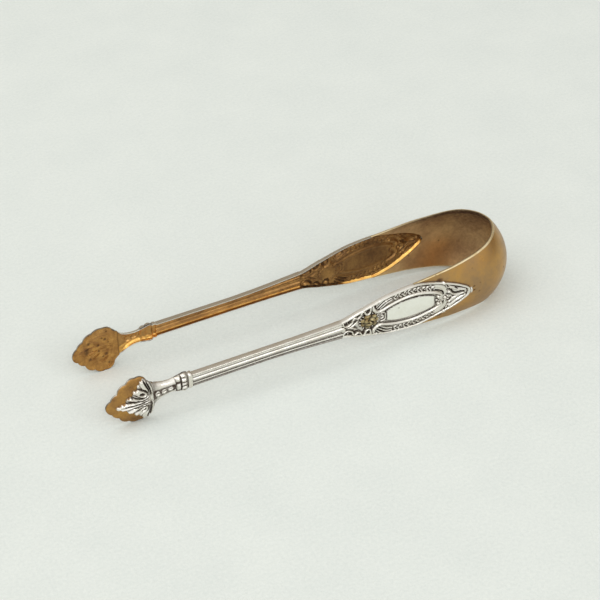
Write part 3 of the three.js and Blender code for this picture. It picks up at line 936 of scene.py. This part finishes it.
def cartouche(name, side):
    """Struck silver plate: its flanks are as deep as the stem's at first and fade to the thin tongue."""
    across, climb = face_section(176)
    stations = np.linspace(STEM_END, TONGUE_END, 440)
    u, v = np.meshgrid(stations, across, indexing="ij")
    width = cartouche_half_width(u)
    spur = 0.3 * unit(1 - np.abs(u - 123.1) / 0.9)
    z = v * (width + spur)
    face = ORNAMENT.sample(ORNAMENT.height, u, z)
    outer = place(u, z, climb * face)
    wall = ARM_FLANK - 0.13 * smoothstep(u, TONGUE_SPLIT - 3, TONGUE_SPLIT + 1)
    z_in = v * np.maximum(width - wall, 0.3)
    steepness = np.where(z_in > 0, 2.6, 0.85)
    slope = 0.1 + steepness * np.maximum(width - wall - np.abs(z_in), 0) + 2 * (1 - smoothstep(u, 90, 104))
    thick = CHANNEL_SHEET - 0.16 * smoothstep(u, 96, TONGUE_SPLIT)
    reverse = np.minimum(ORNAMENT.sample(REVERSE, u, z_in) - thick, face - 0.26)
    h_in = climb * np.clip(np.minimum(reverse, slope), 0, None)
    garlanded = smoothstep(u, 103, 106) * (1 - smoothstep(u, 117, 120))
    dirt_and_shade = ORNAMENT.sample(ORNAMENT_RECESS, u, z) * (climb == 1) * (1 - 0.3 * garlanded)
    oval = medallion_oval(u, z_in)
    wall_share = smoothstep(slope - reverse, -0.1, 0.1)
    inner_dirt = wall_share * (unit((h_in - blur(h_in, 4.0)) / 0.15) * 0.25 + 0.2)
    inner_dirt = inner_dirt + 0.15 * (1 - smoothstep(oval, 0.75, 0.95))
    # The lower wall of the reverse gets the brighter gilt, a painted highlight.
    painted_highlight = (z_in < 0) & (slope < reverse) & (u > 96)
    return closed_sheet(
        name, side, outer, place(u, z_in, h_in), ARM_METALS, recess=dirt_and_shade, inner_recess=inner_dirt,
        painted_highlight=painted_highlight, fades=int(np.searchsorted(stations, TONGUE_SPLIT)),
    )


def medallion_outline():
    u = MEDALLION_CENTRE + np.linspace(-MEDALLION_HALF_LENGTH, MEDALLION_HALF_LENGTH, 70)
    half = MEDALLION_HALF_HEIGHT * np.sqrt(1 - ((u - MEDALLION_CENTRE) / MEDALLION_OVAL) ** 2)
    return np.concatenate([np.column_stack([u, -half]), np.column_stack([u, half])[::-1]])


def medallion(name, side):
    """Plain satin plate, slightly crowned, with a soft edge."""
    def top(u, z, away):
        edge = np.sqrt(1 - (1 - unit(away / 0.45)) ** 2)
        return 0.85 + 0.35 * edge + 0.12 * unit(1 - (z / MEDALLION_HALF_HEIGHT) ** 2)

    def grime(u, z, away):
        return unit(1.5 - away / 0.3)

    return struck_plate(
        name, side, medallion_outline(), 0.3, top, lambda u, z, away: 0.72 + 0 * u, [SATIN_SILVER], grime
    )


def moulding_rings(path, width, foot, crest, taper):
    """Half-round rings along a path drawn on the sheet."""
    run = directions(path)
    aside = np.column_stack([-run[:, 1], run[:, 0]])
    swell = tapered(np.linspace(0, 1, len(path)), taper)
    angles = np.linspace(0, math.pi, 13)
    offsets = np.cos(angles)
    u = path[:, :1] + aside[:, :1] * offsets * width * swell[:, None]
    z = path[:, 1:] + aside[:, 1:] * offsets * width * swell[:, None]
    h = foot + (crest - foot) * np.sin(angles) * np.sqrt(swell)[:, None]
    middles = [(u[:, :1] + u[:, -1:]) / 2, (z[:, :1] + z[:, -1:]) / 2, np.full((len(path), 1), foot)]
    return place(*[np.concatenate(pair, axis=1) for pair in zip((u, z, h), middles)])


def dome_rings(centre, radius, foot, crest):
    """Rings of a low round button."""
    around = turns(24)
    rings = []
    for climb in np.radians([0, 20, 40, 60, 78]):
        reach = radius * math.cos(climb)
        height = foot + (crest - foot) * math.sin(climb)
        rings.append(place(centre[0] + reach * np.cos(around), centre[1] + reach * np.sin(around), height))
    return np.array(rings)


def medallion_frame(name, side):
    """Two half-round mouldings, one above the medallion and one below, each curled around a button."""
    upper = frame_half()
    lower = upper[::-1] * [1, -1]
    points, faces, count = [], [], 0
    taper = (0.5, 1.25, 1.3, 1.15, 1.05, 1.05, 1.05, 1.05, 1.05, 1.05, 1.05, 0.8)
    for path, widths in ((upper, taper), (lower, taper[::-1])):
        curl = (120.7, 1.45 * np.sign(path[5, 1]))
        for rings in (moulding_rings(path, 0.56, 0.8, 1.75, widths), dome_rings(curl, 0.72, 0.8, 1.95)):
            more, groups, _ = capped_loft(rings)
            faces += [group + count for group in groups]
            points.append(more)
            count += len(more)
    return add_piece(name, side, np.concatenate(points), faces, [SILVER])


def flower(name, side):
    """A full flower: ragged outer petals, a ring of inner petals and a seeded middle."""
    turn = turns(180)
    radius = FLOWER_RADIUS * (0.82 + 0.18 * np.abs(np.cos(3.5 * turn + 0.4 * np.sin(2 * turn))) ** 0.7)
    outline = np.column_stack([FLOWER_CENTRE + FLOWER_STRETCH * radius * np.cos(turn), radius * np.sin(turn)])

    def polar(u, z):
        along = (u - FLOWER_CENTRE) / FLOWER_STRETCH
        return np.hypot(along, z) / FLOWER_RADIUS, np.arctan2(z, along)

    def petals(r, a):
        outer = np.abs(np.cos(3.5 * a + 0.4 * np.sin(2 * a))) ** 0.5
        inner = np.abs(np.cos(1.5 * (a + 2.4 * r) + 0.9)) ** 0.6
        return outer, inner

    def top(u, z, away):
        r, a = polar(u, z)
        outer, inner = petals(r, a)
        ring = 0.3 + 0.42 * outer * np.sin(math.pi * unit((r - 0.3) / 0.75))
        swell = np.sin(math.pi * unit(r / 0.66)) ** 0.8
        heart = 0.35 + 0.75 * inner * swell * (1 + 0.3 * np.sin(a + 2))
        seeds = 0.62 * unit(1 - (r / 0.2) ** 2) ** 0.5
        edge = np.sqrt(unit(away / 0.3))
        return 0.85 + edge * np.maximum.reduce([ring, np.where(r < 0.62, heart, 0), seeds + 0.25])

    def grime(u, z, away):
        r, a = polar(u, z)
        outer, inner = petals(r, a)
        between = np.where(r < 0.58, 1 - inner, 1 - outer)
        ring = hump(r - 0.62, 0.06) + hump(r - 0.22, 0.05)
        # Painted shade darkens the flower's lower side, away from its middle.
        shade = 0.5 * unit(np.cos(a + 1.9)) * smoothstep(r, 0.3, 0.9)
        return unit(1.1 * between + 0.6 * ring + shade + 0.7 * unit(1 - away / 0.25))

    return struck_plate(name, side, outline, 0.13, top, lambda u, z, away: 0.62 + 0 * u, [AGED_GILT], grime)


def tip_bead(name, side):
    """Small oval bead on a foot just beyond the tongue."""
    rings = []
    at = TONGUE_END + 0.55
    foot = [(0.6, 0.5), (0.92, 0.55), (0.92, 0.86), (0.8, 0.92)]
    crown = [(0.78, 1.05), (0.62, 1.22), (0.36, 1.32), (0.12, 1.35)]
    around = turns(40)
    for radius, height in foot + crown:
        u = at + 0.6 * radius * np.cos(around)
        rings.append(place(u, 1.4 * radius * np.sin(around) - 0.3, height))
    points, faces, _ = capped_loft(np.array(rings))
    return add_piece(name, side, points, faces, [SILVER])


# ---------------------------------------------------------------- claws

# Round lobes of the claw's edge, from its tip along one side: u, z and radius; then the heel behind them.
LOBES = [(3.0, 0, 3.0), (4.75, 1.85, 3.1), (7.3, 4.4, 3.2), (9.9, 5.9, 3.0), (11.6, 5.75, 3.1)]
HEEL = [(14.6, 6.5), (15.5, 5.6), (CLAW_END, 5.0)]


def crossing(a, b):
    """Where two neighbouring lobes cross, on the outer side."""
    dx, dz = b[0] - a[0], b[1] - a[1]
    apart = math.hypot(dx, dz)
    along = (apart**2 + a[2] ** 2 - b[2] ** 2) / (2 * apart)
    off = math.sqrt(a[2] ** 2 - along**2)
    return a[0] + (dx * along - dz * off) / apart, a[1] + (dz * along + dx * off) / apart


def claw_outline(per_lobe=10):
    cusps = [crossing(a, b) for a, b in zip(LOBES, LOBES[1:])]
    half = []
    for i, (x, z, r) in enumerate(LOBES):
        start = math.pi if i == 0 else math.atan2(cusps[i - 1][1] - z, cusps[i - 1][0] - x)
        end = 0.35 if i == len(LOBES) - 1 else math.atan2(cusps[i][1] - z, cusps[i][0] - x)
        if start < end:
            start += 2 * math.pi
        angles = np.linspace(start, end, per_lobe)[0 if i == 0 else 1:]
        half += [(x + r * math.cos(a), z + r * math.sin(a)) for a in angles]
    heel = smooth_path([half[-1]] + HEEL, 4)[1:]
    return mirrored(np.array(half + [tuple(p) for p in heel]))


def claw_cup(u, z):
    """The pan stands out in its middle, so that the claw is hollow inside."""
    return CLAW_CUP * unit(1 - ((u - 11) / 12) ** 2 - (z / 9.8) ** 2) - CLAW_INSET


def leaf_outline():
    """Tip, then the three lobes of one side with their notches, then the root."""
    upper = [
        (2.9, 0), (3.5, 0.65), (4.3, 0.6), (5, 1.2), (5.8, 1), (6.5, 1.35), (6.5, 2.2),
        (7, 3.1), (7.5, 2.9), (8.1, 3.4), (8.6, 3.15), (9, 3.7), (8.9, 4.5), (9.6, 5.1),
        (10.2, 4.8), (10.7, 5.2), (10.9, 6.2), (11.5, 6.6), (11.9, 7.5), (12.6, 7.5), (13.2, 8),
        (14, 7.5), (14.8, 6.6), (15.5, 5.8), (16.1, 5), (16.4, 3.8), (16.3, 2.4), (16.1, 0.8),
    ]
    return mirrored(smooth_path(upper, 3))


def leaf_relief():
    """Fronds that fan out from the root in folds, each curling over a dark eye."""
    foot = 0.35
    relief = Relief(2.0, 17.8, 8.4, lambda u, z: foot + 0 * u)
    fronds = [
        ([(14.2, 0.3), (11.5, 0.6), (8, 0.65), (5, 0.45), (3.4, 0.1)], 0.85),
        ([(13.6, 1.4), (12, 1.2), (9.6, 2), (7.2, 3)], 0.85),
        ([(13.8, 2.6), (12.4, 3.2), (11, 3.9), (9.6, 4.6)], 1),
        ([(14.3, 3), (13.5, 4.9), (12.9, 6.3), (12.4, 7.3)], 1.05),
    ]
    for frond, width in fronds:
        relief.ridge(frond, width, 1.0, foot, taper=(0.6, 0.9, 1.1, 1.1, 0.9))
    folds = [
        [(14.3, 0.5), (12, 0.45), (9.4, 0.5), (6.6, 0.7), (4.4, 0.6)],
        [(14.2, 1.6), (12.8, 1.2), (11.2, 1.25), (9.4, 1.9), (7.3, 3)],
        [(9.5, 4.4), (10.6, 3.3), (12.2, 2.3), (13.1, 2.4), (13.2, 3.2), (12.4, 3.95), (10.9, 4.8)],
        [(14, 3.4), (13.5, 4.7), (12.9, 6.2), (12.5, 7.3)],
        [(14.9, 2.2), (14.6, 3.8), (14.1, 5.4), (13.5, 7.2)],
        [(15.5, 1.6), (15.4, 3.2), (15.1, 4.7), (14.5, 6.3)],
    ]
    for fold in folds:
        relief.ridge(fold, 0.38, 1.3, foot, taper=(0.7, 1, 1, 0.9))
    partings = [
        ([(6.4, 1.4), (8.2, 1.25), (9.8, 1.2), (12, 0.82), (13.9, 1)], 0.27),
        ([(8.2, 3.6), (9.4, 2.65), (11.3, 1.75), (12.9, 1.75), (13.9, 2.3)], 0.27),
        ([(10.7, 5.4), (12, 4.7), (13.3, 3.9), (14.1, 2.6), (14.5, 1.5)], 0.27),
        ([(13.1, 7.6), (13.7, 5.6), (14.4, 3.7), (14.8, 1.8)], 0.22),
        ([(14, 6.6), (14.6, 4.6), (15, 2.6), (15.1, 1)], 0.22),
        ([(6, 0), (10, 0), (14.6, 0)], 0.2),
        ([(9.2, 1.15), (10.2, 1.2)], 0.45),
        ([(11.5, 3.3), (12.4, 3)], 0.5),
        ([(8.4, 3.2), (8.8, 2.9)], 0.35),
    ]
    relief.carve(partings, 0.85)
    relief.height = np.maximum(relief.height, 0.25)
    return relief


LEAF = leaf_relief()
LEAF.height = LEAF.softened(0.07)
LEAF_RECESS = LEAF.recess(0.45, 0.25)
LEAF_SOFT = LEAF.softened(0.34)
CLAW_SPOTS = (  # u, z and size of each dark spot inside the claw
    (12.1, 3.1, 0.6), (9.6, 1.2, 0.45), (11, 3.9, 0.4), (6.2, 3.3, 0.6), (12.6, 6.6, 0.4), (5.4, 0.6, 0.9),
)


def claw(name, side):
    """Scalloped gilt pan with shallow flutes between its lobes and the leaf's reverse inside."""
    def flutes(u, z, away):
        angle = np.arctan2(np.abs(z), 15.0 - u)
        return 0.07 * np.cos(angle * 13) * smoothstep(away, 0.2, 2.5)

    def top(u, z, away):
        edge = 0.22 * (1 - np.sqrt(1 - (1 - unit(away / 0.35)) ** 2))
        return CLAW_THICK + claw_cup(u, z) + flutes(u, z, away) - edge

    def bottom(u, z, away):
        share = smoothstep(away, 0.4, 1.6) * (1 - smoothstep(u, 12.5, 15))
        reverse = 0.5 * (LEAF.sample(LEAF_SOFT, u, z) - 0.5) * share
        edge = 0.12 * unit(1 - away / 0.4) ** 2
        return claw_cup(u, z) + flutes(u, z, away) + reverse + edge

    def edge_grime(away):
        return unit(1 - away / 0.16) * 0.35

    def grime(u, z, away):
        return edge_grime(away) + 0.4 * hump(u - 9.4, 1.5) * hump(np.abs(z) - 6.9, 1.0)

    def under_grime(u, z, away):
        spots = [hump(np.hypot(u - x, np.abs(z) - y), size, 4) for x, y, size in CLAW_SPOTS]
        return edge_grime(away) + 0.75 * sum(spots)

    return struck_plate(
        name, side, claw_outline(), 0.2, top, bottom, [GILT_CLAW, GILT_PRINT, CLAW_EDGE], grime, under_grime
    )


def acanthus_leaf(name, side):
    """Silver leaf laid over the outside of the claw, with its root at the neck."""
    def top(u, z, away):
        edge = np.sqrt(1 - (1 - unit(away / 0.3)) ** 2)
        return CLAW_THICK + claw_cup(u, z) + 0.12 + edge * (LEAF.sample(LEAF.height, u, z) - 0.1)

    def bottom(u, z, away):
        return CLAW_THICK - 0.25 + claw_cup(u, z)

    def grime(u, z, away):
        return LEAF.sample(LEAF_RECESS, u, z)

    return struck_plate(name, side, leaf_outline(), 0.13, top, bottom, [SILVER], grime)


def husk_drop(name, side):
    """Graduated husks strung down the front of the neck, each with a pointed tip over the next."""
    around = turns(40)
    rings, dirt_and_shade = [], []
    for start, length, radius in HUSKS:
        for t in np.linspace(0.0, 1, 14):
            body = 0.2 + (radius - 0.2) * math.sin(math.pi * min(1, t * 0.92 + 0.06)) ** 0.8 * (1 - 0.3 * t)
            lobes = 1 + 0.2 * np.cos(5 * around) * math.sin(math.pi * t)
            u = start - length * 0.96 * t
            z = body * lobes * np.sin(around)
            h = NECK_DEPTH - 0.1 + np.maximum(0.7 * body * lobes * np.cos(around), -0.05)
            rings.append(place(u + 0 * z, z, h))
            dirt_and_shade.append(unit(5.4 * (1 - lobes) + (1.0 if t < 0.12 or t > 0.85 else 0)))
    points, faces, grime = capped_loft(np.array(rings), np.array(dirt_and_shade))
    return add_piece(name, side, points, [group[:, ::-1] for group in faces], [SILVER], recess=grime)


# ---------------------------------------------------------------- band

def band_columns():
    """Shares of the half width, close together at the edges where they are rounded."""
    edge = 1 - np.array([0, 0.004, 0.009, 0.015, 0.022, 0.032])
    middle = np.linspace(-0.96, 0.96, 150)
    return np.concatenate([-edge, middle, edge[::-1]])


def band_start(share):
    """Where the band begins beside the silver tongue, for shares of its half width."""
    u = np.linspace(TONGUE_SPLIT - 0.5, TONGUE_END + 0.4, 800)
    ratio = (cartouche_half_width(np.minimum(u, TONGUE_END)) + 0.03) / half_width(u)
    ratio = np.where(u > TONGUE_END, ratio * unit((TONGUE_END + 0.4 - u) / 0.4) ** 0.5, ratio)
    return np.interp(-np.abs(share), -ratio, u)


STAINS = ((121.6, 7.3, 0.8), (TONGUE_END + 1.8, 0.8, 0.3))  # u, z and size of the band's brown stains


def gilt_band(name, side):
    """Half of the sprung band, from beside the tongue to the middle of the bow."""
    share = band_columns()
    start = band_start(share)
    rows = np.linspace(0, 1, 150)
    u = start + (BOW_MIDDLE - start) * rows[:, None]
    width = half_width(u)
    z = share * width
    away = (1 - np.abs(share)) * width
    round_off = 0.22
    cut = round_off - np.sqrt(np.clip(round_off**2 - np.clip(round_off - away, 0, None) ** 2, 0, None))
    outer = place(u, z, SHEET - cut)
    inner = place(u, z, cut)
    outline = border_path(TONGUE_SPLIT, TONGUE_END, 0)
    gap, _ = distance_along(u, np.abs(z), outline)
    dirt_and_shade = 0.9 * np.exp(-gap / 0.22)
    for at, up, size in STAINS:
        dirt_and_shade = np.maximum(dirt_and_shade, hump(np.hypot((u - at) / 1.6, np.abs(z) - up), size, 4))
    # Painted shade on the lining: darker towards its upper edge and towards the middle of the bow, less over
    # the stains and the tongue's edge.
    tarnish_and_shade = 0.45 * smoothstep(share, -0.1, 1.0) * smoothstep(u, 116, 140) * (1 - 0.5 * dirt_and_shade)
    tarnish_and_shade = tarnish_and_shade + 0.45 * smoothstep(share, 0.72, 0.97) * smoothstep(u, 112, 132)
    tarnish_and_shade = unit(tarnish_and_shade + 0.32 * smoothstep(u, 134, 148))
    return closed_sheet(
        name, side, outer, inner, [GILT, GILT_BOW, GILT_EDGE], recess=dirt_and_shade, inner_recess=tarnish_and_shade, rim=5
    )


# ---------------------------------------------------------------- assembly

ARM_PIECES = [
    (claw, "gilt"),
    (acanthus_leaf, "silver"),
    (neck, "silver"),
    (husk_drop, "silver"),
    (knop, "silver"),
    (collar, "silver"),
    (stem, "silver"),
    (cartouche, "silver"),
    (medallion, "satin_silver"),
    (medallion_frame, "silver"),
    (flower, "aged_gilt"),
    (tip_bead, "silver"),
]

for side_name, side in SIDES.items():
    for build, slot in ARM_PIECES:
        node_name = f"{side_name}_{build.__name__}"
        piece = build(f"{node_name}_visual", side)
        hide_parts(node_name)
        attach(piece, f"{side_name}_arm")
    band = gilt_band(f"{side_name}_band_visual", side)
    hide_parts(f"{side_name}_shoulder", "bow_crown")
    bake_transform(band)


# ---------------------------------------------------------------- stage

def resting_floor():
    """The tongs rest on the bow's lower edge and on the claws' lowest lobes, so they lean a little."""
    claw_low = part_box("near_claw")[0]
    bow_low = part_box("bow_crown")[0]
    under_claw = Vector((TIP_X + LOBES[3][0] * MM, 0, claw_low.z))
    under_bow = Vector((TIP_X + (BOW_START + BOW_REACH) * MM, 0, bow_low.z))
    slope = math.atan2(under_bow.z - under_claw.z, under_bow.x - under_claw.x)
    bpy.ops.mesh.primitive_plane_add(size=1.6, location=under_bow, rotation=(0, -slope, 0))
    floor = bpy.context.active_object
    floor.name = "floor"
    floor.data.materials.append(floor_material())


CAMERA_AZIMUTH = -25.77
CAMERA_ELEVATION = 38.42
CAMERA_ROLL = 1.646
CAMERA_DISTANCE = 635.0
CAMERA_LENS = 117.64
CAMERA_SHIFT = (68.56, 26.51)  # millimetres across and up the picture, from the near claw's place in plan


def set_camera():
    a, e, roll = (math.radians(x) for x in (CAMERA_AZIMUTH, CAMERA_ELEVATION, CAMERA_ROLL))
    right = Vector((math.cos(a), math.sin(a), 0))
    back = Vector((math.sin(a) * math.cos(e), -math.cos(a) * math.cos(e), math.sin(e)))
    up = back.cross(right)
    turned_right = math.cos(roll) * right - math.sin(roll) * up
    turned_up = math.sin(roll) * right + math.cos(roll) * up
    offset = CAMERA_SHIFT[0] * turned_right + CAMERA_SHIFT[1] * turned_up + CAMERA_DISTANCE * back
    origin = Vector((TIP_X, 0, MIDDLE_Z))
    data = bpy.data.cameras.new("camera")
    data.lens = CAMERA_LENS
    data.sensor_width = 36
    data.clip_start = 0.01
    camera = bpy.data.objects.new("camera", data)
    bpy.context.scene.collection.objects.link(camera)
    axes = Matrix((turned_right, turned_up, back)).transposed().to_4x4()
    camera.matrix_world = Matrix.Translation(origin + offset * MM) @ axes
    bpy.context.scene.camera = camera


BRIGHTEST_WAY = (-0.25, -0.62, 0.74)
DIM_ROOM = (0.34, 0.29, 0.225, 1)
BRIGHT_ROOM = (1.08, 1.09, 1.09, 1)


def set_world():
    """A bright room: light above and in front, dimmer and warmer towards the back."""
    world = bpy.data.worlds.new("room")
    bpy.context.scene.world = world
    world.use_nodes = True
    tree = world.node_tree
    tree.nodes.clear()
    direction = node(tree, "TexCoord").outputs["Generated"]
    aim = node(tree, "VectorMath", {0: direction, 1: BRIGHTEST_WAY}, operation="DOT_PRODUCT")
    share = ramp(tree, aim.outputs["Value"], -0.05, 0.75)
    colour = mixed(tree, share, DIM_ROOM, BRIGHT_ROOM)
    background = node(tree, "Background", {"Color": colour, "Strength": 1.0})
    node(tree, "OutputWorld", {"Surface": background.outputs[0]})


def softbox(name, place_at, size, power, colour=(1, 1, 1)):
    data = bpy.data.lights.new(name, "AREA")
    data.shape = "DISK"
    data.size = size
    data.energy = power
    data.color = colour
    light = bpy.data.objects.new(name, data)
    bpy.context.scene.collection.objects.link(light)
    light.location = place_at
    light.rotation_euler = (-Vector(place_at)).to_track_quat("-Z", "Y").to_euler()


resting_floor()
set_camera()
set_world()
softbox("key", (-0.5, 0.15, 1.05), 0.9, 2.2, (1, 0.985, 0.95))
softbox("front_fill", (0.36, -0.8, 0.62), 0.3, 0.5)
softbox("glint", (-0.2, -0.78, 0.78), 0.22, 1.0)
bpy.context.scene.view_settings.view_transform = "Standard"
